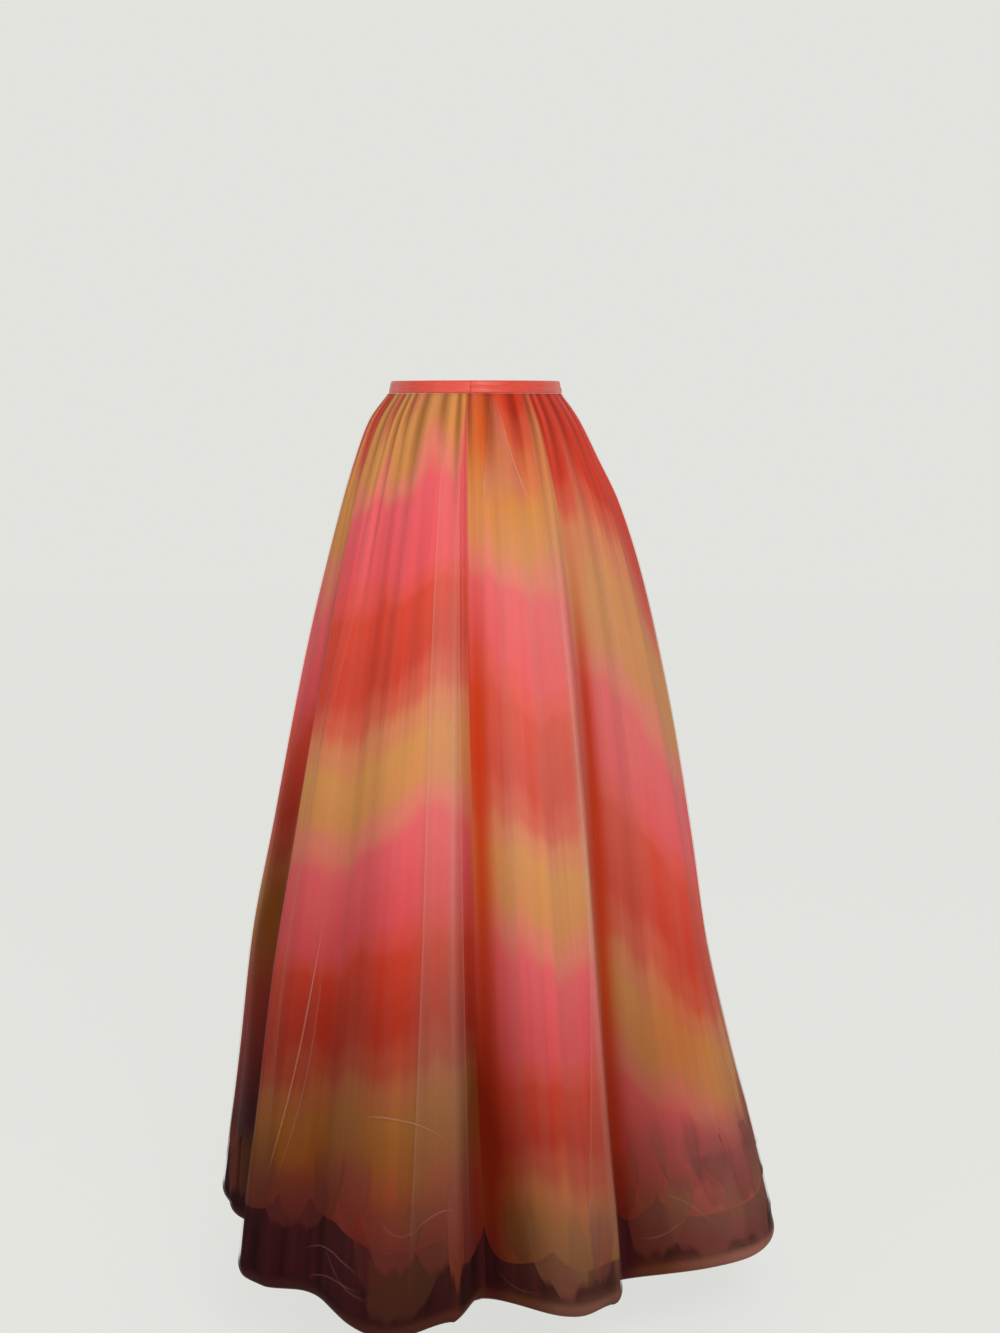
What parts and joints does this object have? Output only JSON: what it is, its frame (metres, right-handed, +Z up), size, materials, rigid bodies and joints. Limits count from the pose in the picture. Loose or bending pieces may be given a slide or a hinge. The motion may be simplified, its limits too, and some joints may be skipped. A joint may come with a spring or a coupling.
{
  "type": "tulle maxi skirt",
  "caption": "Worn, hollow tulle maxi skirt: narrow waistband, gathered sheer outer layer, band-dyed layer with a lobed edge and a dark underskirt.",
  "frame": {"origin": "centre of the waist opening, level with the top edge of the waistband", "axes": "+Z up towards the wearer's head, -Y towards the wearer's front, +X towards the wearer's left"},
  "size_m": [0.7058, 0.6532, 0.974],
  "materials": {
    "waistband_satin": "satin",
    "sheer_tulle": "matte",
    "printed_tulle": "matte",
    "plum_tulle": "matte"
  },
  "bodies": {
    "root": {"waistband_front": "waistband_satin", "waistband_back": "waistband_satin", "veil_front": "sheer_tulle", "veil_back": "sheer_tulle", "printed_front": "printed_tulle", "printed_back": "printed_tulle", "underskirt_front": "plum_tulle", "underskirt_back": "plum_tulle"}
  },
  "joints": []
}
